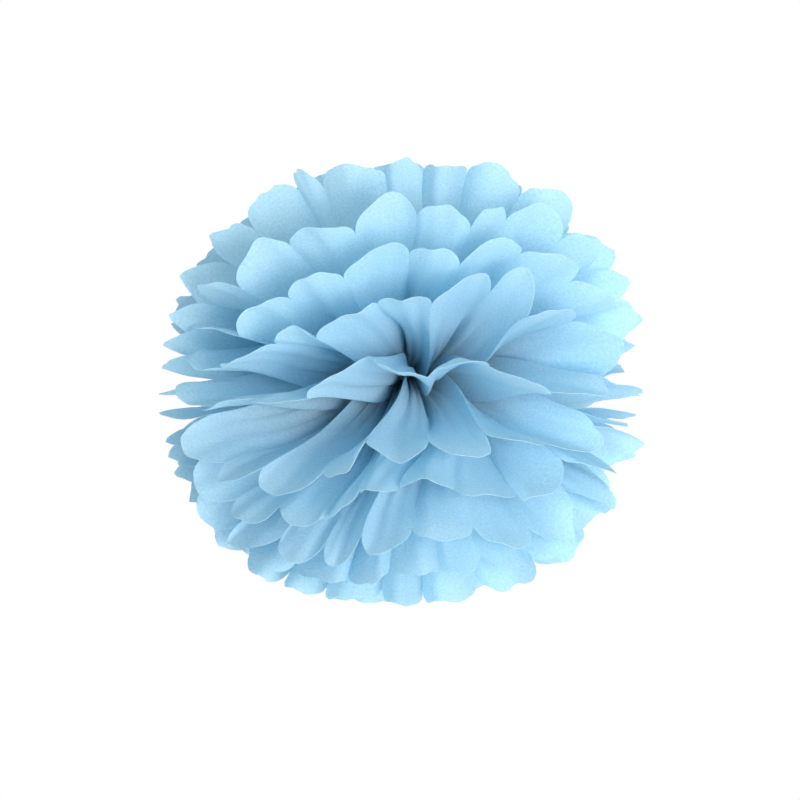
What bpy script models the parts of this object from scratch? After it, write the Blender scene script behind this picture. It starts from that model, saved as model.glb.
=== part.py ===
"""Tissue paper pom pom.

A stack of thin paper sheets is pleated like a fan, its two ends are trimmed round, and a wire is tied
round the middle. The pleats are then opened into fans and the layers are pulled apart, upwards and
downwards, until the petals fill a ball.

The frame is in metres with +Z up. The origin is in the tied waist. The pleats run along Y, so one end
of every sheet fans out to the front (-Y) and the other to the back (+Y), and the wire goes round the
waist in the XZ plane with its twist on top.
"""
import math
import random

import bmesh
import bpy
from mathutils import Vector

# The paper
SHEET_LENGTH = 0.350
SHEET_WIDTH = 0.450
PAPER = 0.0003
TIP_ROUNDING = 0.021

# The tied waist
WAIST_WIDTH = 0.0170
WAIST_PLEAT = 0.0004
LAYER_GAP = 0.0005
NECK = 0.0030

# Where the folds of the front fans end, in degrees from straight ahead: sideways, then upwards. There is one
# row a sheet, the lowest first, and one number a fold, from the left.
FOLD_SPREADS = (
    (-68, -54, -42, -30, -20, -6, 4, 18, 34, 50, 64),
    (-70, -56, -42, -28, -14, -4, 8, 18, 31, 46, 64),
    (-75, -61, -45, -32, -20, -11, 1, 16, 31, 46, 62),
    (-76, -61, -46, -32, -19, -11, -2, 11, 27, 45, 62),
    (-79, -64, -50, -37, -20, -10, 5, 19, 35, 51, 72),
    (-81, -67, -53, -38, -24, -9, 5, 20, 35, 53, 74),
    (-80, -64, -49, -33, -22, -7, 6, 20, 30, 48, 70),
    (-77, -61, -44, -29, -15, 1, 13, 29, 45, 59, 72),
    (-74, -61, -44, -29, -12, 3, 16, 25, 41, 55, 68),
    (-68, -54, -41, -27, -21, -5, 4, 15, 29, 46, 62),
)
FOLD_TILTS = (
    (-84, -90, -90, -85, -78, -73, -71, -73, -77, -79, -77),
    (-76, -77, -76, -69, -62, -57, -53, -56, -61, -64, -68),
    (-68, -66, -62, -57, -49, -45, -40, -43, -49, -53, -57),
    (-52, -48, -47, -44, -37, -30, -28, -30, -33, -37, -42),
    (-40, -31, -32, -32, -24, -18, -15, -16, -19, -18, -34),
    (-26, -8, -10, -9, -4, 3, 1, 2, -4, -2, -16),
    (8, 10, 5, 8, 11, 17, 19, 21, 19, 18, 8),
    (25, 22, 17, 20, 27, 31, 30, 36, 38, 33, 27),
    (38, 37, 35, 38, 40, 43, 42, 47, 54, 54, 48),
    (55, 59, 62, 66, 64, 61, 64, 67, 70, 72, 66),
)
# Where the petals between those folds point at their tips
TIP_SPREADS = (
    (-62, -48, -35, -27, -15, -2, 9, 25, 42, 58),
    (-66, -50, -33, -16, -8, 4, 13, 25, 38, 55),
    (-72, -53, -42, -26, -16, -6, 9, 24, 38, 54),
    (-72, -55, -38, -23, -15, -8, 4, 16, 30, 52),
    (-76, -60, -44, -30, -14, 0, 16, 28, 48, 63),
    (-78, -62, -49, -34, -18, -2, 12, 30, 48, 66),
    (-74, -55, -41, -27, -13, 0, 15, 27, 36, 57),
    (-72, -53, -37, -21, -6, 8, 21, 38, 54, 66),
    (-66, -51, -35, -19, -4, 9, 20, 32, 47, 60),
    (-60, -48, -33, -25, -13, -1, 8, 21, 38, 54),
)
TIP_TILTS = (
    (-79, -79, -75, -71, -66, -64, -63, -66, -70, -74),
    (-78, -74, -66, -56, -54, -50, -53, -57, -60, -64),
    (-76, -69, -64, -53, -50, -44, -39, -48, -52, -56),
    (-56, -52, -47, -38, -34, -26, -24, -29, -33, -38),
    (-38, -35, -35, -32, -22, -18, -19, -18, -24, -28),
    (-18, -8, -10, -6, -1, 1, 4, -3, -4, -8),
    (10, 5, 5, 12, 15, 18, 25, 26, 19, 14),
    (30, 19, 19, 24, 30, 29, 34, 36, 30, 36),
    (38, 34, 37, 38, 43, 41, 44, 52, 53, 52),
    (55, 58, 60, 64, 58, 59, 58, 62, 66, 66),
)
BACK_HALF_ANGLE = 78.0
BACK_FOLD_TILTS = (-77.0, -61.0, -44.0, -27.0, -9.0, 9.0, 27.0, 43.0, 59.0, 73.0)
BACK_TIP_TILTS = (-67.0, -56.0, -43.0, -26.0, -9.0, 9.0, 26.0, 41.0, 53.0, 62.0)
NECK_HALF_ANGLE = 64.0
FAN_BEND = 0.012
LAYER_BEND = 0.110
EDGE_LAYER_BEND = 0.130

# How far the pleats stand up or down at their deepest and at the notches, each in the middle and at the sides.
# The nested folds part further out.
PLEAT_HEIGHT = 0.0110
SIDE_PLEAT_HEIGHT = 0.0165
PLEAT_DEEPEST = 0.062
NOTCH_PLEAT = 0.0030
SIDE_NOTCH_PLEAT = 0.0120
PLEATS_START = 0.014
LEAST_TURN = 0.50
FOLDS_PART, FOLDS_PARTED = 0.045, 0.150

# How unevenly the back was fluffed, in degrees
SPREAD_WANDER = 2.5
TILT_WANDER = 1.5
TIP_WANDER = 3.0
CURL_STARTS = 0.040
SEED = 35

# The binding wire
WIRE_DIAMETER = 0.0009
WIRE_CLEARANCE = 0.0003
STRAND_GAP = 0.0001
TWIST_TURNS = 2
TWIST_PITCH = 0.0030
TAIL = 0.0030
RING_STARTS = 60.0
RING_SWEEP = 300.0

# How finely the shapes are divided
NECK_ROWS = (0.011, 0.028)
CUPPED_FROM = 0.066
CURLED_ROW = 0.114
CURLED_TILT = 40.0
ROUND_OFF = 0.00005
TIP_ANGLES = (-60.0, -30.0, 0.0, 30.0, 60.0)
WIRE_RING_POINTS = 9
WIRE_TURN_POINTS = 3

PAPER_COLOUR = (0.330, 0.620, 0.780, 1.0)
PAPER_ROUGHNESS = 0.85
WIRE_COLOUR = (0.700, 0.700, 0.720, 1.0)
WIRE_ROUGHNESS = 0.35

SHEETS = len(FOLD_SPREADS)
PANELS = len(FOLD_SPREADS[0]) - 1
HALF_LENGTH = SHEET_LENGTH / 2
PANEL_WIDTH = SHEET_WIDTH / PANELS
NOTCH = HALF_LENGTH - TIP_ROUNDING
LAYER_PITCH = PAPER + LAYER_GAP
WIRE_RADIUS = WIRE_DIAMETER / 2


def smooth(share):
    """0 before the start, 1 past the end, and an even ramp between."""
    share = min(max(share, 0.0), 1.0)
    return share * share * (3 - 2 * share)


def new_material(name, colour, roughness, metallic):
    material = bpy.data.materials.new(name)
    material.use_nodes = True
    shader = material.node_tree.nodes["Principled BSDF"]
    shader.inputs["Base Color"].default_value = colour
    shader.inputs["Roughness"].default_value = roughness
    shader.inputs["Metallic"].default_value = metallic
    material.diffuse_color = colour
    return material


def layer_height(sheet):
    """Height of a sheet's middle plane in the waist, the lowest sheet first."""
    return (sheet - (SHEETS - 1) / 2) * LAYER_PITCH


def even_spread(fold, half_angle):
    """Where a fold points if the folds are spread evenly."""
    return half_angle * (2 * fold / PANELS - 1)


def middle_of(folds, panel):
    """Halfway between the two folds of a panel."""
    return (folds[panel] + folds[panel + 1]) / 2


def pleat_swing(across, along):
    """How far a fold tilts out of its layer, in degrees, at a place on the flat sheet."""
    off_centre = abs(2 * across - 1)
    deepest = PLEAT_HEIGHT + (SIDE_PLEAT_HEIGHT - PLEAT_HEIGHT) * off_centre ** 2
    at_notch = NOTCH_PLEAT + (SIDE_NOTCH_PLEAT - NOTCH_PLEAT) * off_centre ** 4
    risen = smooth((along - PLEATS_START) / (PLEAT_DEEPEST - PLEATS_START))
    levelled = smooth((along - PLEAT_DEEPEST) / (NOTCH - PLEAT_DEEPEST))
    height = deepest * risen + (at_notch - deepest) * levelled
    return math.degrees(height / max(along, NECK))


def pleat(across):
    """1 on the folds that point up, -1 on those that point down, and straight between."""
    return 1 - 2 * abs((across * PANELS) % 2 - 1)


class Fan:
    """One end of one sheet: where each fold ends, and where each petal's tip points."""

    def __init__(self, sheet, side):
        draw = random.Random(SEED + 2 * sheet + (side > 0))
        self.side = side
        if side < 0:
            self.spreads = FOLD_SPREADS[sheet]
            self.tilts = FOLD_TILTS[sheet]
            self.tip_spreads = TIP_SPREADS[sheet]
            self.tip_tilts = TIP_TILTS[sheet]
        else:
            self.spreads = [
                even_spread(fold, BACK_HALF_ANGLE) + draw.uniform(-SPREAD_WANDER, SPREAD_WANDER)
                for fold in range(PANELS + 1)
            ]
            self.tilts = [
                BACK_FOLD_TILTS[sheet] + draw.uniform(-TILT_WANDER, TILT_WANDER) for _ in range(PANELS + 1)
            ]
            self.tip_spreads = [
                middle_of(self.spreads, panel) + draw.uniform(-SPREAD_WANDER, SPREAD_WANDER)
                for panel in range(PANELS)
            ]
            self.tip_tilts = [
                BACK_TIP_TILTS[sheet] + draw.uniform(-TIP_WANDER, TIP_WANDER) for _ in range(PANELS)
            ]

    def spread_of(self, fold, along):
        """The folds of all sheets start together and part on the way out."""
        parted = smooth((along - FOLDS_PART) / (FOLDS_PARTED - FOLDS_PART))
        return even_spread(fold, NECK_HALF_ANGLE) * (1 - parted) + self.spreads[fold] * parted

    def place(self, across, along, start):
        """Where a point of the flat sheet comes to lie. It leaves the neck at start and opens into its fan."""
        panel = min(int(across * PANELS), PANELS - 1)
        share = across * PANELS - panel
        cupped = 4 * share * (1 - share) * smooth((along - CURL_STARTS) / (HALF_LENGTH - CURL_STARTS))
        spread = self.spread_of(panel, along) * (1 - share) + self.spread_of(panel + 1, along) * share
        spread += (self.tip_spreads[panel] - middle_of(self.spreads, panel)) * cupped
        tilt = self.tilts[panel] * (1 - share) + self.tilts[panel + 1] * share
        tilt += (self.tip_tilts[panel] - middle_of(self.tilts, panel)) * cupped
        out = max(along - NECK, 0.0)
        spread = math.radians(spread * smooth(out / FAN_BEND))
        bend = LAYER_BEND + (EDGE_LAYER_BEND - LAYER_BEND) * (2 * across - 1) ** 2
        tilt *= 1 - (1 - min(out / bend, 1.0)) ** 2
        tilt += pleat(across) * pleat_swing(across, along) / max(math.cos(spread), LEAST_TURN)
        tilt = math.radians(tilt)
        return Vector((
            start.x + out * math.sin(spread),
            self.side * (min(along, NECK) + out * math.cos(spread) * math.cos(tilt)),
            start.z + out * math.cos(spread) * math.sin(tilt),
        ))


def tip_reach(share):
    """How far the trimmed end reaches past the notches, at a share of the panel's width."""
    off_centre = 2 * share - 1
    return TIP_ROUNDING * math.sqrt(max(1 - off_centre ** 2, 0.0))


def end_outline(side):
    """The trimmed end of the flat sheet from its left edge to its right edge, one round tip a panel."""
    points = []
    for panel in range(PANELS):
        left = panel * PANEL_WIDTH - SHEET_WIDTH / 2
        points.append((left, side * NOTCH))
        for angle in TIP_ANGLES:
            share = (1 + math.sin(math.radians(angle))) / 2
            points.append((left + share * PANEL_WIDTH, side * (NOTCH + tip_reach(share))))
    points.append((SHEET_WIDTH / 2, side * NOTCH))
    return points


def cut(blank, point, normal):
    """Marks a straight line across the flat sheet."""
    shape = list(blank.verts) + list(blank.edges) + list(blank.faces)
    bmesh.ops.bisect_plane(blank, geom=shape, plane_co=point, plane_no=normal)


def rows_of(tilt):
    """The rows that divide a sheet across its folds. A sheet pulled far up or down has one more, where it curls."""
    rows = (NECK,) + NECK_ROWS + (CUPPED_FROM,)
    return rows + (CURLED_ROW,) if abs(tilt) > CURLED_TILT else rows


def flat_blank(rows):
    """The flat sheet as it is cut, divided at its folds, and in rows."""
    blank = bmesh.new()
    outline = end_outline(1) + end_outline(-1)[::-1]
    blank.faces.new([blank.verts.new((x, y, 0)) for x, y in outline])
    for fold in range(1, PANELS):
        cut(blank, (fold * PANEL_WIDTH - SHEET_WIDTH / 2, 0, 0), (1, 0, 0))
    for row in rows:
        cut(blank, (0, row, 0), (0, 1, 0))
        cut(blank, (0, -row, 0), (0, 1, 0))
    return blank


def add_petal_middles(blank):
    """Divides each panel down its middle, so that its petal can be cupped."""
    first = CUPPED_FROM - ROUND_OFF
    for panel in range(PANELS):
        middle = (panel + 0.5) * PANEL_WIDTH - SHEET_WIDTH / 2
        faces = [
            face for face in blank.faces
            if abs(face.calc_center_median().x - middle) < PANEL_WIDTH / 2
            and min(abs(vert.co.y) for vert in face.verts) > first
        ]
        edges = {edge for face in faces for edge in face.edges}
        verts = {vert for face in faces for vert in face.verts}
        bmesh.ops.bisect_plane(
            blank, geom=faces + list(edges) + list(verts), plane_co=(middle, 0, 0), plane_no=(1, 0, 0)
        )
    bmesh.ops.triangulate(blank, faces=blank.faces)


def tissue_sheet(sheet, material, collection):
    """One sheet of paper, cut flat, then gathered at the waist and fanned out at both ends."""
    blank = flat_blank(rows_of(BACK_FOLD_TILTS[sheet]))
    add_petal_middles(blank)
    fans = {-1: Fan(sheet, -1), 1: Fan(sheet, 1)}
    for vert in blank.verts:
        across = min(max(vert.co.x / SHEET_WIDTH + 0.5, 0.0), 1.0)
        start = Vector((
            (across - 0.5) * WAIST_WIDTH, 0, layer_height(sheet) + WAIST_PLEAT * pleat(across)
        ))
        side = 1 if vert.co.y > 0 else -1
        vert.co = fans[side].place(across, abs(vert.co.y), start)
    name = f"tissue_sheet_{sheet + 1:02d}"
    mesh = bpy.data.meshes.new(name)
    blank.to_mesh(mesh)
    blank.free()
    mesh.shade_smooth()
    mesh.materials.append(material)
    made = bpy.data.objects.new(name, mesh)
    collection.objects.link(made)
    skin = made.modifiers.new("paper", "SOLIDIFY")
    skin.thickness = PAPER
    skin.offset = 0.0


def waist_corners():
    """Corners of the bundle's section at the waist, as (x, z)."""
    corners = []
    for sheet in range(SHEETS):
        reach = WAIST_WIDTH / 2 + PAPER / 2
        high = WAIST_PLEAT + PAPER / 2
        for x in (-reach, reach):
            corners.append((x, layer_height(sheet) + high))
            corners.append((x, layer_height(sheet) - high))
    return corners


def wire_route():
    """The wire's centreline: down one strand of the twist, once round the waist and up the other strand."""
    stand_off = WIRE_RADIUS + WIRE_CLEARANCE
    corners = waist_corners()
    ring = []
    for point in range(WIRE_RING_POINTS + 1):
        angle = math.radians(RING_STARTS - RING_SWEEP * point / WIRE_RING_POINTS)
        normal = (math.cos(angle), math.sin(angle))
        x, z = max(corners, key=lambda corner: corner[0] * normal[0] + corner[1] * normal[1])
        ring.append(Vector((x + stand_off * normal[0], 0, z + stand_off * normal[1])))
    top = max(corner[1] for corner in corners) + stand_off + WIRE_DIAMETER
    strand = WIRE_RADIUS + STRAND_GAP
    points = TWIST_TURNS * WIRE_TURN_POINTS

    def climb(phase):
        """One strand from the ring upwards, ending in a straight tail."""
        line = []
        for point in range(points + 1):
            turn = phase + 2 * math.pi * point / WIRE_TURN_POINTS
            rise = top + TWIST_PITCH * point / WIRE_TURN_POINTS
            line.append(Vector((strand * math.cos(turn), strand * math.sin(turn), rise)))
        spread = 2 * strand * math.cos(phase)
        line.append(line[-1] + Vector((spread, 0, TAIL)))
        return line

    return climb(0.0)[::-1] + ring + climb(math.pi)


def binding_wire(material, collection):
    """The wire that holds the pleats together, with its ends twisted."""
    curve = bpy.data.curves.new("binding_wire", "CURVE")
    curve.dimensions = "3D"
    curve.bevel_depth = WIRE_RADIUS
    curve.bevel_resolution = 1
    curve.use_fill_caps = True
    route = wire_route()
    line = curve.splines.new("POLY")
    line.points.add(len(route) - 1)
    for point, place in zip(line.points, route):
        point.co = (*place, 1.0)
    curve.materials.append(material)
    made = bpy.data.objects.new("binding_wire", curve)
    collection.objects.link(made)


def build():
    for old in list(bpy.data.objects):
        bpy.data.objects.remove(old)
    collection = bpy.data.collections.new("tissue_paper_pom_pom")
    bpy.context.scene.collection.children.link(collection)
    paper = new_material("tissue_paper", PAPER_COLOUR, PAPER_ROUGHNESS, 0.0)
    wire = new_material("galvanised_wire", WIRE_COLOUR, WIRE_ROUGHNESS, 1.0)
    for sheet in range(SHEETS):
        tissue_sheet(sheet, paper, collection)
    binding_wire(wire, collection)


build()
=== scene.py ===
"""Tissue paper pom pom: ten pleated sheets, tied round the waist with wire and fluffed into a ball."""

import math
import random

import bmesh
import bpy
import numpy as np
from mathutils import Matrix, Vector


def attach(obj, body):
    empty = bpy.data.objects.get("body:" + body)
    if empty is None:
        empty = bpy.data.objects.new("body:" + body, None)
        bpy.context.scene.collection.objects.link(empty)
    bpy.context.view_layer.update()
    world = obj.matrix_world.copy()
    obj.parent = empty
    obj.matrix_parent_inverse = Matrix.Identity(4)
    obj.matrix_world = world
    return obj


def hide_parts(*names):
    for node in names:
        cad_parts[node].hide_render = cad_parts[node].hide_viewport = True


bl_info = {
    "name": "Tissue Paper Pom Pom",
    "version": (1, 0, 0),
    "blender": (4, 5, 0),
    "location": "View3D > Sidebar > Pom Pom",
    "description": "Folds, trims and fluffs the sheets of a tissue paper pom pom and ties them with wire",
    "category": "Add Mesh",
}

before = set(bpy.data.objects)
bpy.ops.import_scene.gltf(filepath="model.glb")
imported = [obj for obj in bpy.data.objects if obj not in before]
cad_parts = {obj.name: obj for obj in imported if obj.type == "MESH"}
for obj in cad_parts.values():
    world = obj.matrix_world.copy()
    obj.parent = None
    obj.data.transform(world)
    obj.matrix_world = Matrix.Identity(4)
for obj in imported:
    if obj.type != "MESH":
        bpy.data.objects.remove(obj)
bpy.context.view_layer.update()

# Where the folds of the front fans end, in degrees from straight ahead: sideways, then upwards. There is one
# row a sheet, the lowest first, and one number a fold, from the left.
FOLD_SPREADS = (
    (-68, -54, -42, -30, -20, -6, 4, 18, 34, 50, 64),
    (-70, -56, -42, -28, -14, -4, 8, 18, 31, 46, 64),
    (-75, -61, -45, -32, -20, -11, 1, 16, 31, 46, 62),
    (-76, -61, -46, -32, -19, -11, -2, 11, 27, 45, 62),
    (-79, -64, -50, -37, -20, -10, 5, 19, 35, 51, 72),
    (-81, -67, -53, -38, -24, -9, 5, 20, 35, 53, 74),
    (-80, -64, -49, -33, -22, -7, 6, 20, 30, 48, 70),
    (-77, -61, -44, -29, -15, 1, 13, 29, 45, 59, 72),
    (-74, -61, -44, -29, -12, 3, 16, 25, 41, 55, 68),
    (-68, -54, -41, -27, -21, -5, 4, 15, 29, 46, 62),
)
FOLD_TILTS = (
    (-84, -90, -90, -85, -78, -73, -71, -73, -77, -79, -77),
    (-76, -77, -76, -69, -62, -57, -53, -56, -61, -64, -68),
    (-68, -66, -62, -57, -49, -45, -40, -43, -49, -53, -57),
    (-52, -48, -47, -44, -37, -30, -28, -30, -33, -37, -42),
    (-40, -31, -32, -32, -24, -18, -15, -16, -19, -18, -34),
    (-26, -8, -10, -9, -4, 3, 1, 2, -4, -2, -16),
    (8, 10, 5, 8, 11, 17, 19, 21, 19, 18, 8),
    (25, 22, 17, 20, 27, 31, 30, 36, 38, 33, 27),
    (38, 37, 35, 38, 40, 43, 42, 47, 54, 54, 48),
    (55, 59, 62, 66, 64, 61, 64, 67, 70, 72, 66),
)
# Where the petals between those folds point at their tips
TIP_SPREADS = (
    (-62, -48, -35, -27, -15, -2, 9, 25, 42, 58),
    (-66, -50, -33, -16, -8, 4, 13, 25, 38, 55),
    (-72, -53, -42, -26, -16, -6, 9, 24, 38, 54),
    (-72, -55, -38, -23, -15, -8, 4, 16, 30, 52),
    (-76, -60, -44, -30, -14, 0, 16, 28, 48, 63),
    (-78, -62, -49, -34, -18, -2, 12, 30, 48, 66),
    (-74, -55, -41, -27, -13, 0, 15, 27, 36, 57),
    (-72, -53, -37, -21, -6, 8, 21, 38, 54, 66),
    (-66, -51, -35, -19, -4, 9, 20, 32, 47, 60),
    (-60, -48, -33, -25, -13, -1, 8, 21, 38, 54),
)
TIP_TILTS = (
    (-79, -79, -75, -71, -66, -64, -63, -66, -70, -74),
    (-78, -74, -66, -56, -54, -50, -53, -57, -60, -64),
    (-76, -69, -64, -53, -50, -44, -39, -48, -52, -56),
    (-56, -52, -47, -38, -34, -26, -24, -29, -33, -38),
    (-38, -35, -35, -32, -22, -18, -19, -18, -24, -28),
    (-18, -8, -10, -6, -1, 1, 4, -3, -4, -8),
    (10, 5, 5, 12, 15, 18, 25, 26, 19, 14),
    (30, 19, 19, 24, 30, 29, 34, 36, 30, 36),
    (38, 34, 37, 38, 43, 41, 44, 52, 53, 52),
    (55, 58, 60, 64, 58, 59, 58, 62, 66, 66),
)
# The back half, in degrees too: its outermost folds, and each sheet's folds and petal tips
BACK_HALF_ANGLE = 78.0
BACK_FOLD_TILTS = (-77.0, -61.0, -44.0, -27.0, -9.0, 9.0, 27.0, 43.0, 59.0, 73.0)
BACK_TIP_TILTS = (-67.0, -56.0, -43.0, -26.0, -9.0, 9.0, 26.0, 41.0, 53.0, 62.0)
# How far the back strays from that, in degrees
SPREAD_WANDER = 2.5
TILT_WANDER = 1.5
TIP_WANDER = 3.0

# How a sheet leaves the waist: the straight part in the wire, the angle of the outermost folds, and how far
# along the paper it takes to turn sideways and to turn up or down, in the middle and at the sides
NECK = 0.0030
NECK_HALF_ANGLE = 64.0
FAN_BEND = 0.012
LAYER_BEND = 0.110
EDGE_LAYER_BEND = 0.130

# Where along the paper the pleats start to rise, and from where to where the folds leave the even fan for
# their own places. A fold swings further the more it points sideways, up to one with this cosine.
PLEATS_START = 0.014
FOLDS_PART, FOLDS_PARTED = 0.045, 0.150
LEAST_TURN = 0.50

# Where along the paper the petals start to cup, and where their rims start to curl, how soon and how many
# degrees at most
CURL_STARTS = 0.040
LIP_STARTS, LIP_LENGTH = 0.145, 0.030
LIP_CURL = 1.5

# Where along the paper the fine gathers start to rise and to fade, and the lengths that each takes
RIPPLES_START, RIPPLE_RISE = 0.006, 0.030
RIPPLES_FADE, RIPPLE_FADE = 0.045, 0.095

# The same for the creases and the waves. There are two sets of creases, in creases for each pleat, and two of
# waves, in radians for the sheet's width and for each metre along it.
CREASES_START, CREASE_RISE = 0.050, 0.050
CREASE_SETS = (2.9, 5.3)
WAVES_START, WAVE_RISE = 0.090, 0.080
WAVE_SETS = ((38, 14), (83, -30))

# The sheets that were handled most, and how deep the other rims are torn, as a share of theirs
TORN_SHEETS = (0, 1, 9)
LESS_TORN = 0.25
# Every sheet's sides are torn as well. As shares of the way from the middle to the side: where its rim starts
# to be torn deeper, how soon it is torn as deep as any, and where its petals start to be torn into points.
TEARS_DEEPEN, TEARS_RAMP = 0.55, 0.3
JAGS_START = 0.62

# One seed for the fans, one for the uneven cut and one for the tears
SEED = 35
CUT_SEED = 385
TEAR_SEED = 245

# How finely the paper is divided, and how much closer the rows are near the waist
PANEL_COLUMNS = 18
HALF_ROWS = 64
ROW_CROWDING = 0.35

# The wire's ring, in degrees, and how finely it is drawn
RING_STARTS, RING_SWEEP = 60, 300
RING_POINTS = 36
TURN_POINTS = 12

# The stage
FLOOR_RADIUS = 3.0
FLOOR_FADES, FLOOR_WHITE = 0.5, 1.8
CAMERA_PLACE = (-0.0035, -0.0155)
KEY_PLACE, KEY_SIZE = (0.9, -2.2, -0.3), 1.1
BACK_PLACE, BACK_SIZE = (1.5, 1.6, -0.8), 1.6

SHEETS = len(FOLD_SPREADS)
PANELS = len(FOLD_SPREADS[0]) - 1


class PaperSettings(bpy.types.PropertyGroup):
    """The tissue and how it is folded."""

    sheet_length: bpy.props.FloatProperty(
        name="Sheet length", description="Length of a flat sheet, along its folds", default=0.350,
        min=0.1, unit="LENGTH",
    )
    sheet_width: bpy.props.FloatProperty(
        name="Sheet width", description="Width of a flat sheet, across its folds", default=0.450,
        min=0.1, unit="LENGTH",
    )
    thickness: bpy.props.FloatProperty(
        name="Thickness", description="Thickness of the paper", default=0.0003, min=0.00001, unit="LENGTH",
    )
    tip_rounding: bpy.props.FloatProperty(
        name="Tip rounding", description="How far a petal's round tip reaches past its notches",
        default=0.021, min=0.0, unit="LENGTH",
    )
    waist_width: bpy.props.FloatProperty(
        name="Waist width", description="Width of the gathered waist inside the wire", default=0.017,
        min=0.001, unit="LENGTH",
    )
    waist_pleat: bpy.props.FloatProperty(
        name="Waist pleat", description="Height of the pleats in the waist", default=0.0004, min=0.0,
        unit="LENGTH",
    )
    layer_gap: bpy.props.FloatProperty(
        name="Layer gap", description="Gap between the sheets in the waist", default=0.0005, min=0.0,
        unit="LENGTH",
    )
    pleat_height: bpy.props.FloatProperty(
        name="Pleat height", description="How far the middle folds stand up or down at their deepest",
        default=0.0110, min=0.0, unit="LENGTH",
    )
    side_pleat_height: bpy.props.FloatProperty(
        name="Side pleat height",
        description="How far the outermost folds stand up or down at their deepest",
        default=0.0165, min=0.0, unit="LENGTH",
    )
    pleat_deepest: bpy.props.FloatProperty(
        name="Deepest pleat", description="How far from the waist the folds stand deepest", default=0.062,
        min=0.001, unit="LENGTH",
    )
    notch_pleat: bpy.props.FloatProperty(
        name="Notch pleat", description="How far the middle folds still stand up or down at the notches",
        default=0.0030, min=0.0, unit="LENGTH",
    )
    side_notch_pleat: bpy.props.FloatProperty(
        name="Side notch pleat", description="How far the outermost folds still stand at the notches",
        default=0.0120, min=0.0, unit="LENGTH",
    )
    ripple_height: bpy.props.FloatProperty(
        name="Ripple height", description="Height of the fine gathers near the waist", default=0.0062,
        min=0.0, unit="LENGTH",
    )
    crease_height: bpy.props.FloatProperty(
        name="Crease height", description="Height of the sharp creases that run out along the petals",
        default=0.0013, min=0.0, unit="LENGTH",
    )
    wave_height: bpy.props.FloatProperty(
        name="Wave height", description="Height of the soft waves in the petals' rims", default=0.0017,
        min=0.0, unit="LENGTH",
    )
    cut_slant: bpy.props.FloatProperty(
        name="Cut slant", description="How much shorter one side of a petal can be", default=0.006,
        min=0.0, unit="LENGTH",
    )
    cut_waver: bpy.props.FloatProperty(
        name="Cut waver", description="How far the trimmed ends waver", default=0.0022, min=0.0,
        unit="LENGTH",
    )
    jag_depth: bpy.props.FloatProperty(
        name="Jag depth", description="How deep the petals at the sides are torn into points", default=0.026,
        min=0.0, unit="LENGTH",
    )
    torn_depth: bpy.props.FloatProperty(
        name="Torn depth", description="How deep the rims of the most handled sheets are torn",
        default=0.0045, min=0.0, unit="LENGTH",
    )
    colour: bpy.props.StringProperty(
        name="Colour", description="The dyed tissue as light falls on it, as an sRGB hex value",
        default="#DDF3FC",
    )
    glow_colour: bpy.props.StringProperty(
        name="Glow colour", description="Light that comes through the tissue, as an sRGB hex value",
        default="#D5F2FD",
    )
    translucency: bpy.props.FloatProperty(
        name="Translucency", description="Share of the light that goes through the tissue", default=0.66,
        min=0.0, max=1.0, subtype="FACTOR",
    )


class WireSettings(bpy.types.PropertyGroup):
    """The wire that ties the waist."""

    diameter: bpy.props.FloatProperty(
        name="Diameter", description="Thickness of the binding wire", default=0.0009, min=0.0001,
        unit="LENGTH",
    )
    clearance: bpy.props.FloatProperty(
        name="Clearance", description="Gap between the wire and the paper", default=0.0003, min=0.0,
        unit="LENGTH",
    )
    strand_gap: bpy.props.FloatProperty(
        name="Strand gap", description="Gap between the two twisted strands", default=0.0001, min=0.0,
        unit="LENGTH",
    )
    twist_pitch: bpy.props.FloatProperty(
        name="Twist pitch", description="Height of one turn of the twist", default=0.0030, min=0.001,
        unit="LENGTH",
    )
    twist_turns: bpy.props.IntProperty(
        name="Twist turns", description="Turns of the twisted ends", default=2, min=1,
    )
    tail: bpy.props.FloatProperty(
        name="Tail", description="Height of the straight ends above the twist", default=0.0030, min=0.0,
        unit="LENGTH",
    )
    colour: bpy.props.StringProperty(
        name="Colour", description="The zinc's colour, as an sRGB hex value", default="#C2C3C6",
    )


class StageSettings(bpy.types.PropertyGroup):
    """The floor, the light and the camera."""

    floor_drop: bpy.props.FloatProperty(
        name="Floor drop", description="How far the floor lies below the pom pom's waist", default=0.90,
        min=0.2, unit="LENGTH",
    )
    camera_distance: bpy.props.FloatProperty(
        name="Camera distance", description="How far the camera stands from the waist", default=2.60,
        min=0.5, unit="LENGTH",
    )
    view_width: bpy.props.FloatProperty(
        name="View width", description="Width that the picture takes in at the waist", default=0.5632,
        min=0.1, unit="LENGTH",
    )
    light_strength: bpy.props.FloatProperty(
        name="Light strength", description="Strength of the even light from all round", default=0.45,
        min=0.0,
    )
    key_power: bpy.props.FloatProperty(
        name="Key power", description="Power of the soft light from the right", default=53.0, min=0.0,
        unit="POWER",
    )
    back_power: bpy.props.FloatProperty(
        name="Back power", description="Power of the soft light behind the right edge", default=48.0,
        min=0.0, unit="POWER",
    )


def linear(hex_value):
    """An sRGB hex value as a linear colour."""
    channels = []
    for start in (1, 3, 5):
        share = int(hex_value[start:start + 2], 16) / 255
        channels.append(share / 12.92 if share <= 0.04045 else ((share + 0.055) / 1.055) ** 2.4)
    return (*channels, 1.0)


def add_node(tree, kind, settings=None, links=None):
    """One node, with its settings and what feeds its inputs: a value, or another node's output."""
    node = tree.nodes.new(kind)
    for name, value in (settings or {}).items():
        setattr(node, name, value)
    for name, value in (links or {}).items():
        socket = node.inputs[name]
        if isinstance(value, bpy.types.NodeSocket):
            tree.links.new(value, socket)
        else:
            socket.default_value = value
    return node


def new_tree(name):
    """A new material and its empty node tree."""
    material = bpy.data.materials.new(name)
    material.use_nodes = True
    material.node_tree.nodes.clear()
    return material, material.node_tree


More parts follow.
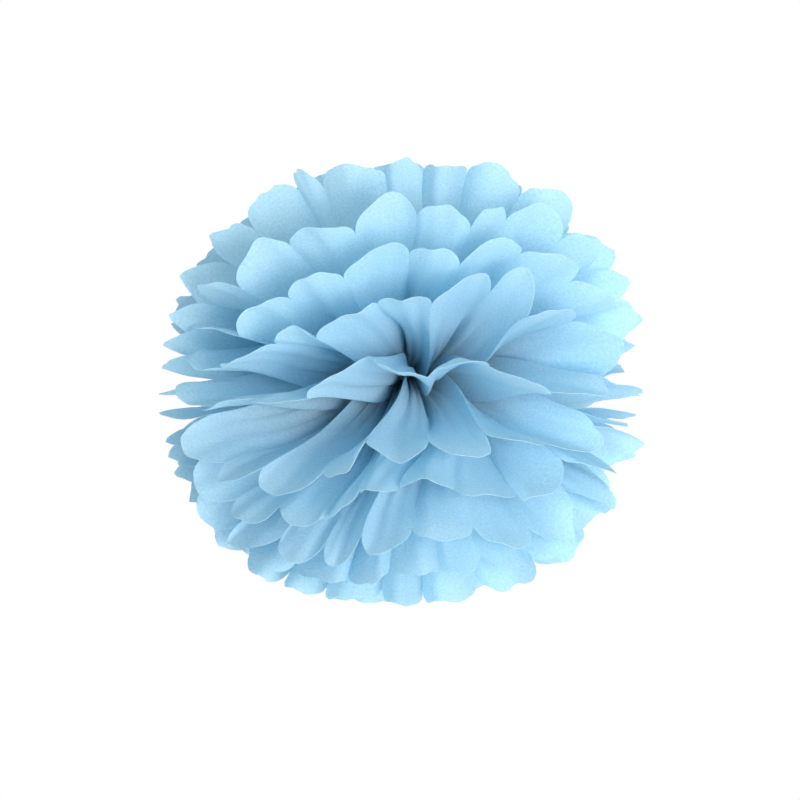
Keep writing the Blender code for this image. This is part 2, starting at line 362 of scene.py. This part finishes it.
def tissue_paper_material(paper):
    """Dyed tissue: thin, matt and cloudy with fibres, so it glows where light comes from behind."""
    material, tree = new_tree("tissue paper")
    flat = add_node(tree, "ShaderNodeUVMap", {"uv_map": "flat sheet"})
    # Clumps of fibre 2 mm across, seen as a faint cloudiness
    clumps = add_node(
        tree, "ShaderNodeTexNoise", None,
        {"Vector": flat.outputs["UV"], "Scale": 500.0, "Detail": 3.0, "Roughness": 0.6},
    )
    # Single fibres, drawn 0.8 mm long and so coarser than real ones, which the render couldn't show
    fibres = add_node(
        tree, "ShaderNodeTexNoise", None,
        {"Vector": flat.outputs["UV"], "Scale": 1250.0, "Detail": 2.0, "Roughness": 0.5},
    )
    cloud = add_node(
        tree, "ShaderNodeMapRange", None,
        {"Value": clumps.outputs["Fac"], "From Min": 0.3, "From Max": 0.7, "To Min": 0.84, "To Max": 1.06},
    )
    # Light that falls on the face shows the clumps far less than light that comes through
    faint = add_node(
        tree, "ShaderNodeMapRange", None,
        {"Value": clumps.outputs["Fac"], "From Min": 0.3, "From Max": 0.7, "To Min": 0.96, "To Max": 1.0},
    )
    tint = add_node(
        tree, "ShaderNodeMix", {"data_type": "RGBA", "blend_type": "MULTIPLY"},
        {0: 1.0, 6: linear(paper.colour), 7: faint.outputs["Result"]},
    )
    glow = add_node(
        tree, "ShaderNodeMix", {"data_type": "RGBA", "blend_type": "MULTIPLY"},
        {0: 1.0, 6: linear(paper.glow_colour), 7: cloud.outputs["Result"]},
    )
    bump = add_node(
        tree, "ShaderNodeBump", None,
        {"Strength": 0.12, "Distance": 0.0003, "Height": fibres.outputs["Fac"]},
    )
    face = add_node(
        tree, "ShaderNodeBsdfPrincipled", None,
        {"Base Color": tint.outputs[2], "Roughness": 0.85, "IOR": 1.45, "Specular IOR Level": 0.25,
         "Normal": bump.outputs["Normal"]},
    )
    through = add_node(
        tree, "ShaderNodeBsdfTranslucent", None,
        {"Color": glow.outputs[2], "Normal": bump.outputs["Normal"]},
    )
    both = add_node(
        tree, "ShaderNodeMixShader", None,
        {0: paper.translucency, 1: face.outputs["BSDF"], 2: through.outputs["BSDF"]},
    )
    add_node(tree, "ShaderNodeOutputMaterial", None, {"Surface": both.outputs["Shader"]})
    return material


def galvanised_wire_material(wire):
    """Zinc-coated steel drawn through a die: a dull grey metal whose gloss varies from spot to spot with its
    zinc crystals.
    """
    material, tree = new_tree("galvanised wire")
    place = add_node(tree, "ShaderNodeTexCoord")
    # Zinc crystals, 0.4 mm across on wire this thin
    crystals = add_node(
        tree, "ShaderNodeTexNoise", None,
        {"Vector": place.outputs["Object"], "Scale": 2500.0, "Detail": 2.0},
    )
    gloss = add_node(
        tree, "ShaderNodeMapRange", None,
        {"Value": crystals.outputs["Fac"], "To Min": 0.28, "To Max": 0.48},
    )
    bump = add_node(
        tree, "ShaderNodeBump", None,
        {"Strength": 0.2, "Distance": 0.00005, "Height": crystals.outputs["Fac"]},
    )
    metal = add_node(
        tree, "ShaderNodeBsdfPrincipled", None,
        {"Base Color": linear(wire.colour), "Metallic": 1.0, "Roughness": gloss.outputs["Result"],
         "Normal": bump.outputs["Normal"]},
    )
    add_node(tree, "ShaderNodeOutputMaterial", None, {"Surface": metal.outputs["BSDF"]})
    return material


def smooth(share):
    """0 before the start, 1 past the end, and an even ramp between."""
    share = np.clip(share, 0.0, 1.0)
    return share * share * (3 - 2 * share)


def layer_height(paper, sheet):
    """Height of a sheet's middle plane in the waist, the lowest sheet first."""
    return (sheet - (SHEETS - 1) / 2) * (paper.thickness + paper.layer_gap)


def even_spread(fold, half_angle):
    """Where a fold points if the folds are spread evenly."""
    return half_angle * (2 * fold / PANELS - 1)


def notch_reach(paper):
    """How far from the waist the notches between the petals are."""
    return paper.sheet_length / 2 - paper.tip_rounding


def middle_of(folds, panel):
    """Halfway between the two folds of a panel."""
    return (folds[panel] + folds[panel + 1]) / 2


def pleat_swing(paper, across, along):
    """How far a fold tilts out of its layer, in degrees, at a place on the flat sheet."""
    off_centre = np.abs(2 * across - 1)
    deepest = paper.pleat_height + (paper.side_pleat_height - paper.pleat_height) * off_centre ** 2
    at_notch = paper.notch_pleat + (paper.side_notch_pleat - paper.notch_pleat) * off_centre ** 4
    risen = smooth((along - PLEATS_START) / (paper.pleat_deepest - PLEATS_START))
    levelled = smooth((along - paper.pleat_deepest) / (notch_reach(paper) - paper.pleat_deepest))
    height = deepest * risen + (at_notch - deepest) * levelled
    return np.degrees(height / np.maximum(along, NECK))


def pleat(across):
    """1 on the folds that point up, -1 on those that point down, and straight between."""
    return 1 - 2 * np.abs((across * PANELS) % 2 - 1)


def ripple_swing(paper, across, along):
    """The fine gathers that the wire presses into the paper, in degrees. They open out into the petals."""
    height = paper.ripple_height * smooth((along - RIPPLES_START) / RIPPLE_RISE)
    height = height * (1 - smooth((along - RIPPLES_FADE) / RIPPLE_FADE))
    wave = pleat(across * 3 + 0.04 * np.sin(across * 61)) * 0.6 + pleat(across * 5 + 0.013) * 0.4
    return np.degrees(height * wave / np.maximum(along, NECK))


class Fan:
    """One end of one sheet: where each fold ends, and where each petal's tip points."""

    def __init__(self, sheet, side):
        draw = random.Random(SEED + 2 * sheet + (side > 0))
        self.sheet = sheet
        self.side = side
        if side < 0:
            spreads, tilts = FOLD_SPREADS[sheet], FOLD_TILTS[sheet]
            tip_spreads, tip_tilts = TIP_SPREADS[sheet], TIP_TILTS[sheet]
        else:
            spreads = [
                even_spread(fold, BACK_HALF_ANGLE) + draw.uniform(-SPREAD_WANDER, SPREAD_WANDER)
                for fold in range(PANELS + 1)
            ]
            tilts = [
                BACK_FOLD_TILTS[sheet] + draw.uniform(-TILT_WANDER, TILT_WANDER) for _ in range(PANELS + 1)
            ]
            tip_spreads = [
                middle_of(spreads, panel) + draw.uniform(-SPREAD_WANDER, SPREAD_WANDER)
                for panel in range(PANELS)
            ]
            tip_tilts = [
                BACK_TIP_TILTS[sheet] + draw.uniform(-TIP_WANDER, TIP_WANDER) for _ in range(PANELS)
            ]
        self.phases = [draw.uniform(0, 2 * math.pi) for _ in range(4)]
        self.lips = np.array([draw.uniform(-LIP_CURL, LIP_CURL) for _ in range(PANELS)])
        self.spreads, self.tilts = np.array(spreads, float), np.array(tilts, float)
        self.tip_spreads, self.tip_tilts = np.array(tip_spreads, float), np.array(tip_tilts, float)

    def crumple_swing(self, paper, across, along):
        """The creases and soft waves that handling left, in degrees."""
        first, second, third, fourth = self.phases
        bent = across + 0.006 * np.sin(23 * along / paper.sheet_length + first)
        wide, narrow = CREASE_SETS
        creases = pleat(wide * bent + first) * 0.5 + pleat(narrow * bent + second) * 0.5
        creases = creases * smooth((along - CREASES_START) / CREASE_RISE)
        (long_turn, long_lean), (short_turn, short_lean) = WAVE_SETS
        waves = np.sin(long_turn * across + third + long_lean * along)
        waves = waves + 0.6 * np.sin(short_turn * across + fourth + short_lean * along)
        waves = waves * smooth((along - WAVES_START) / WAVE_RISE)
        height = paper.crease_height * creases + paper.wave_height * waves
        return np.degrees(height / np.maximum(along, NECK))

    def places(self, paper, across, along):
        """Where the points of the flat sheet come to lie."""
        panel = np.minimum((across * PANELS).astype(int), PANELS - 1)
        share = across * PANELS - panel
        half_length = paper.sheet_length / 2
        cupped = 4 * share * (1 - share) * smooth((along - CURL_STARTS) / (half_length - CURL_STARTS))
        parted = smooth((along - FOLDS_PART) / (FOLDS_PARTED - FOLDS_PART))
        own = self.spreads[panel] * (1 - share) + self.spreads[panel + 1] * share
        spread = even_spread(across * PANELS, NECK_HALF_ANGLE) * (1 - parted) + own * parted
        spread = spread + (self.tip_spreads[panel] - middle_of(self.spreads, panel)) * cupped
        tilt = self.tilts[panel] * (1 - share) + self.tilts[panel + 1] * share
        tilt = tilt + (self.tip_tilts[panel] - middle_of(self.tilts, panel)) * cupped
        curled = 4 * share * (1 - share) * smooth((along - LIP_STARTS) / LIP_LENGTH) ** 2
        tilt = tilt + self.lips[panel] * curled
        out = np.maximum(along - NECK, 0.0)
        spread = np.radians(spread * smooth(out / FAN_BEND))
        bend = LAYER_BEND + (EDGE_LAYER_BEND - LAYER_BEND) * (2 * across - 1) ** 2
        tilt = tilt * (1 - (1 - np.minimum(out / bend, 1.0)) ** 2)
        swing = pleat(across) * pleat_swing(paper, across, along) + ripple_swing(paper, across, along)
        swing = swing + self.crumple_swing(paper, across, along)
        tilt = np.radians(tilt + swing / np.maximum(np.cos(spread), LEAST_TURN))
        start_x = (across - 0.5) * paper.waist_width
        start_z = layer_height(paper, self.sheet) + paper.waist_pleat * pleat(across)
        return np.stack([
            start_x + out * np.sin(spread),
            self.side * (np.minimum(along, NECK) + out * np.cos(spread) * np.cos(tilt)),
            start_z + out * np.cos(spread) * np.sin(tilt),
        ], axis=1)


def tip_reach(paper, share):
    """How far the trimmed end reaches past the notches, at a share of the panel's width."""
    return paper.tip_rounding * np.sqrt(np.maximum(1 - (2 * share - 1) ** 2, 0.0))


def uneven_cut(sheet, side, panel, share, paper):
    """What a petal lacks of its full round: the scissors slanted and wavered, and side petals are torn."""
    draw = random.Random(CUT_SEED + 2 * sheet + (side > 0))
    slants = np.array([draw.uniform(-1, 1) for _ in range(PANELS)])
    wavers = np.array([draw.uniform(0, 2 * math.pi) for _ in range(PANELS)])
    slant = np.maximum(slants[panel] * (2 * share - 1), 0) ** 1.5 * paper.cut_slant
    waver = (1 + np.sin(11 * share + wavers[panel])) * paper.cut_waver / 2
    off_centre = np.abs(2 * (panel + share) / PANELS - 1)
    point = 0.5 + 0.2 * slants[panel]
    jag = np.where(share < point, 1 - share / point, (share - point) / (1 - point)) * paper.jag_depth
    jag = jag * smooth((off_centre - JAGS_START) / (1 - JAGS_START))
    return (slant + waver) * np.sqrt(np.maximum(1 - (2 * share - 1) ** 2, 0.0)) + jag


def torn_depths(sheet, side, paper):
    """How deep the rim is torn at each column of one end of a sheet."""
    draw = random.Random(TEAR_SEED + 2 * sheet + (side > 0))
    across = np.linspace(0, 1, PANELS * PANEL_COLUMNS + 1)
    handled = 1.0 if sheet in TORN_SHEETS else LESS_TORN
    off_centre = np.abs(2 * across - 1)
    most = paper.torn_depth * np.maximum(handled, smooth((off_centre - TEARS_DEEPEN) / TEARS_RAMP))
    depths = np.array([draw.random() ** 2 for _ in across])
    depths = 0.6 * depths + 0.2 * np.roll(depths, 1) + 0.2 * np.roll(depths, -1)
    return most * depths


def flat_grid(name):
    """A flat grid with a column on every fold, and the column and row of each of its points."""
    blank = bmesh.new()
    bmesh.ops.create_grid(
        blank, x_segments=PANELS * PANEL_COLUMNS, y_segments=2 * HALF_ROWS, size=1.0
    )
    mesh = bpy.data.meshes.new(name)
    blank.to_mesh(mesh)
    blank.free()
    places = np.empty(len(mesh.vertices) * 3, np.float32)
    mesh.vertices.foreach_get("co", places)
    places = places.reshape(-1, 3).astype(float)
    column = np.rint((places[:, 0] + 1) / 2 * PANELS * PANEL_COLUMNS).astype(int)
    row = np.rint(places[:, 1] * HALF_ROWS).astype(int)
    return mesh, column, row


def sharpen_rims(mesh, column, row):
    """Marks the paper's ends as sharp, so that thin paper isn't shaded as a thick, round rim."""
    ends = np.empty(len(mesh.edges) * 2, np.int32)
    mesh.edges.foreach_get("vertices", ends)
    first, second = ends.reshape(-1, 2).T
    on_cut = (row[first] == row[second]) & (np.abs(row[first]) == HALF_ROWS)
    on_side = (column[first] == column[second]) & np.isin(column[first], (0, PANELS * PANEL_COLUMNS))
    sharp = mesh.attributes.new("sharp_edge", "BOOLEAN", "EDGE")
    sharp.data.foreach_set("value", on_cut | on_side)


def tissue_sheet(sheet, paper, material):
    """One sheet of paper: trimmed round, gathered at the waist and fanned out at both ends."""
    name = f"tissue_paper_{sheet + 1:02d}"
    mesh, column, row = flat_grid(name)
    panel = np.minimum(column // PANEL_COLUMNS, PANELS - 1)
    step = (column - panel * PANEL_COLUMNS) / PANEL_COLUMNS
    share = (1 - np.cos(np.pi * step)) / 2
    across = (panel + share) / PANELS
    torn = np.where(row > 0, torn_depths(sheet, 1, paper)[column], torn_depths(sheet, -1, paper)[column])
    uneven = np.where(
        row > 0, uneven_cut(sheet, 1, panel, share, paper), uneven_cut(sheet, -1, panel, share, paper),
    )
    reach = notch_reach(paper) + tip_reach(paper, share) - torn - uneven
    part = np.abs(row) / HALF_ROWS
    along = reach * ((1 - ROW_CROWDING) * part + ROW_CROWDING * part ** 2)
    places = np.empty((len(column), 3))
    for side in (-1, 1):
        rim = np.flatnonzero(row == side * HALF_ROWS)
        rim = rim[np.argsort(across[rim])]
        chosen = row > 0 if side > 0 else row <= 0
        places[chosen] = Fan(sheet, side).places(paper, across[chosen], along[chosen])
    mesh.vertices.foreach_set("co", places.astype(np.float32).ravel())
    layer = mesh.uv_layers.new(name="flat sheet")
    corner = np.empty(len(mesh.loops), np.int32)
    mesh.loops.foreach_get("vertex_index", corner)
    side = np.where(row > 0, 1.0, -1.0)
    flat = np.stack([across * paper.sheet_width, side * along + sheet * paper.sheet_length], axis=1)
    layer.data.foreach_set("uv", flat[corner].astype(np.float32).ravel())
    mesh.update()
    mesh.shade_smooth()
    sharpen_rims(mesh, column, row)
    mesh.materials.append(material)
    made = bpy.data.objects.new(name, mesh)
    bpy.context.scene.collection.objects.link(made)
    skin = made.modifiers.new("paper", "SOLIDIFY")
    skin.thickness = paper.thickness
    skin.offset = 0.0
    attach(made, "root")
    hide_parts(f"tissue_sheet_{sheet + 1:02d}")


def waist_corners(paper):
    """Corners of the bundle's section at the waist, as (x, z)."""
    corners = []
    for sheet in range(SHEETS):
        reach = paper.waist_width / 2 + paper.thickness / 2
        high = paper.waist_pleat + paper.thickness / 2
        for x in (-reach, reach):
            corners.append((x, layer_height(paper, sheet) + high))
            corners.append((x, layer_height(paper, sheet) - high))
    return corners


def wire_route(paper, wire):
    """The wire's centreline: down one strand of the twist, once round the waist and up the other strand."""
    radius = wire.diameter / 2
    stand_off = radius + wire.clearance
    corners = waist_corners(paper)
    ring = []
    for point in range(RING_POINTS + 1):
        angle = math.radians(RING_STARTS - RING_SWEEP * point / RING_POINTS)
        normal = (math.cos(angle), math.sin(angle))
        x, z = max(corners, key=lambda corner: corner[0] * normal[0] + corner[1] * normal[1])
        ring.append(Vector((x + stand_off * normal[0], 0, z + stand_off * normal[1])))
    top = max(corner[1] for corner in corners) + stand_off + wire.diameter
    strand = radius + wire.strand_gap

    def climb(phase):
        """One strand from the ring upwards, ending in a straight tail."""
        line = []
        for point in range(wire.twist_turns * TURN_POINTS + 1):
            turn = phase + 2 * math.pi * point / TURN_POINTS
            rise = top + wire.twist_pitch * point / TURN_POINTS
            line.append(Vector((strand * math.cos(turn), strand * math.sin(turn), rise)))
        line.append(line[-1] + Vector((2 * strand * math.cos(phase), 0, wire.tail)))
        return line

    return climb(0.0)[::-1] + ring + climb(math.pi)


def binding_wire(paper, wire, material):
    """The wire that holds the pleats together, with its ends twisted."""
    curve = bpy.data.curves.new("wire line", "CURVE")
    curve.dimensions = "3D"
    curve.bevel_depth = wire.diameter / 2
    curve.bevel_resolution = 3
    curve.use_fill_caps = True
    route = wire_route(paper, wire)
    line = curve.splines.new("POLY")
    line.points.add(len(route) - 1)
    for point, place in zip(line.points, route):
        point.co = (*place, 1.0)
    bare = bpy.data.objects.new("wire line", curve)
    mesh = bpy.data.meshes.new_from_object(bare)
    bpy.data.objects.remove(bare)
    bpy.data.curves.remove(curve)
    welded = bmesh.new()
    welded.from_mesh(mesh)
    bmesh.ops.remove_doubles(welded, verts=welded.verts, dist=0.00001)
    bmesh.ops.recalc_face_normals(welded, faces=welded.faces)
    welded.to_mesh(mesh)
    welded.free()
    mesh.name = "binding_wire_loop"
    mesh.shade_smooth()
    mesh.materials.clear()
    mesh.materials.append(material)
    made = bpy.data.objects.new("binding_wire_loop", mesh)
    bpy.context.scene.collection.objects.link(made)
    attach(made, "root")
    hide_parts("binding_wire")


def studio_white(tree, lit, fill_input):
    """Mixes in plain white wherever the camera, a reflection or a look through something meets the stage."""
    rays = add_node(tree, "ShaderNodeLightPath")
    seen = add_node(
        tree, "ShaderNodeMath", {"operation": "MAXIMUM"},
        {0: rays.outputs["Is Camera Ray"], 1: rays.outputs["Is Glossy Ray"]},
    )
    seen = add_node(
        tree, "ShaderNodeMath", {"operation": "MAXIMUM"},
        {0: seen.outputs[0], 1: rays.outputs["Is Transmission Ray"]},
    )
    return add_node(
        tree, "ShaderNodeMixShader", None, {0: seen.outputs[0], 1: lit, 2: fill_input},
    )


def build_world(stage):
    """An even white room that lights the pom pom and stands behind it."""
    world = bpy.data.worlds.new("studio")
    bpy.context.scene.world = world
    world.use_nodes = True
    tree = world.node_tree
    tree.nodes.clear()
    light = add_node(
        tree, "ShaderNodeBackground", None, {"Color": linear("#FFFFFF"), "Strength": stage.light_strength},
    )
    white = add_node(
        tree, "ShaderNodeBackground", None, {"Color": linear("#FFFFFF"), "Strength": 1.0},
    )
    both = studio_white(tree, light.outputs[0], white.outputs[0])
    add_node(tree, "ShaderNodeOutputWorld", None, {"Surface": both.outputs[0]})


def build_floor(stage):
    """A pale round floor that keeps the shadow under the pom pom and fades into the white room."""
    blank = bmesh.new()
    bmesh.ops.create_circle(blank, cap_ends=True, radius=FLOOR_RADIUS, segments=96)
    bmesh.ops.translate(blank, verts=blank.verts, vec=(0.0, 0.0, -stage.floor_drop))
    mesh = bpy.data.meshes.new("floor")
    blank.to_mesh(mesh)
    blank.free()
    material, tree = new_tree("painted floor")
    place = add_node(tree, "ShaderNodeTexCoord")
    reach = add_node(
        tree, "ShaderNodeVectorMath", {"operation": "MULTIPLY"},
        {0: place.outputs["Object"], 1: (1.0, 1.0, 0.0)},
    )
    reach = add_node(tree, "ShaderNodeVectorMath", {"operation": "LENGTH"}, {0: reach.outputs[0]})
    fade = add_node(
        tree, "ShaderNodeMapRange", {"interpolation_type": "SMOOTHSTEP"},
        {"Value": reach.outputs["Value"], "From Min": FLOOR_FADES, "From Max": FLOOR_WHITE},
    )
    paint = add_node(
        tree, "ShaderNodeBsdfPrincipled", None, {"Base Color": linear("#F4F6F7"), "Roughness": 0.9},
    )
    white = add_node(tree, "ShaderNodeEmission", None, {"Color": linear("#FFFFFF"), "Strength": 1.0})
    both = add_node(
        tree, "ShaderNodeMixShader", None,
        {0: fade.outputs[0], 1: paint.outputs[0], 2: white.outputs[0]},
    )
    add_node(tree, "ShaderNodeOutputMaterial", None, {"Surface": both.outputs[0]})
    mesh.materials.append(material)
    floor = bpy.data.objects.new("floor", mesh)
    bpy.context.scene.collection.objects.link(floor)


def soft_light(name, place, size, power):
    """A square, soft, white light that faces the pom pom."""
    lamp = bpy.data.lights.new(name, "AREA")
    lamp.shape = "SQUARE"
    lamp.size = size
    lamp.energy = power
    made = bpy.data.objects.new(name, lamp)
    made.location = place
    made.rotation_euler = (-Vector(place)).to_track_quat("-Z", "Y").to_euler()
    bpy.context.scene.collection.objects.link(made)


def build_camera(stage):
    """A long lens level with the waist, a little below it and to its left."""
    lens = bpy.data.cameras.new("camera")
    lens.sensor_width = 36.0
    lens.lens = lens.sensor_width * stage.camera_distance / stage.view_width
    lens.clip_end = 50.0
    camera = bpy.data.objects.new("camera", lens)
    x, z = CAMERA_PLACE
    camera.location = (x, -stage.camera_distance, z)
    camera.rotation_euler = (math.radians(90), 0.0, 0.0)
    bpy.context.scene.collection.objects.link(camera)
    bpy.context.scene.camera = camera


class POMPOM_OT_tissue_sheets(bpy.types.Operator):
    """Fold, trim and fluff the sheets of tissue"""

    bl_idname = "pompom.tissue_sheets"
    bl_label = "Tissue sheets"

    def execute(self, context):
        paper = context.scene.pompom_paper
        material = tissue_paper_material(paper)
        for sheet in range(SHEETS):
            tissue_sheet(sheet, paper, material)
        return {"FINISHED"}


class POMPOM_OT_binding_wire(bpy.types.Operator):
    """Tie the waist with wire and twist its ends"""

    bl_idname = "pompom.binding_wire"
    bl_label = "Binding wire"

    def execute(self, context):
        wire = context.scene.pompom_wire
        binding_wire(context.scene.pompom_paper, wire, galvanised_wire_material(wire))
        return {"FINISHED"}


class POMPOM_OT_stage(bpy.types.Operator):
    """Add the floor, the light and the camera"""

    bl_idname = "pompom.stage"
    bl_label = "Stage"

    def execute(self, context):
        stage = context.scene.pompom_stage
        context.scene.view_settings.view_transform = "Standard"
        build_world(stage)
        build_floor(stage)
        soft_light("key light", KEY_PLACE, KEY_SIZE, stage.key_power)
        soft_light("back light", BACK_PLACE, BACK_SIZE, stage.back_power)
        build_camera(stage)
        return {"FINISHED"}


class POMPOM_PT_sidebar(bpy.types.Panel):
    """Lists the pieces of the pom pom"""

    bl_idname = "POMPOM_PT_sidebar"
    bl_label = "Pom Pom"
    bl_space_type = "VIEW_3D"
    bl_region_type = "UI"
    bl_category = "Pom Pom"

    def draw(self, context):
        groups = (
            (POMPOM_OT_stage, context.scene.pompom_stage),
            (POMPOM_OT_tissue_sheets, context.scene.pompom_paper),
            (POMPOM_OT_binding_wire, context.scene.pompom_wire),
        )
        for operator, settings in groups:
            box = self.layout.box()
            for name in settings.__annotations__:
                box.prop(settings, name)
            box.operator(operator.bl_idname)


CLASSES = (
    PaperSettings, WireSettings, StageSettings, POMPOM_OT_stage, POMPOM_OT_tissue_sheets,
    POMPOM_OT_binding_wire, POMPOM_PT_sidebar,
)


def register():
    for each in CLASSES:
        bpy.utils.register_class(each)
    bpy.types.Scene.pompom_paper = bpy.props.PointerProperty(type=PaperSettings)
    bpy.types.Scene.pompom_wire = bpy.props.PointerProperty(type=WireSettings)
    bpy.types.Scene.pompom_stage = bpy.props.PointerProperty(type=StageSettings)


def unregister():
    del bpy.types.Scene.pompom_stage
    del bpy.types.Scene.pompom_wire
    del bpy.types.Scene.pompom_paper
    for each in reversed(CLASSES):
        bpy.utils.unregister_class(each)


def main():
    register()
    bpy.ops.pompom.stage()
    bpy.ops.pompom.tissue_sheets()
    bpy.ops.pompom.binding_wire()


if __name__ == "__main__":
    main()
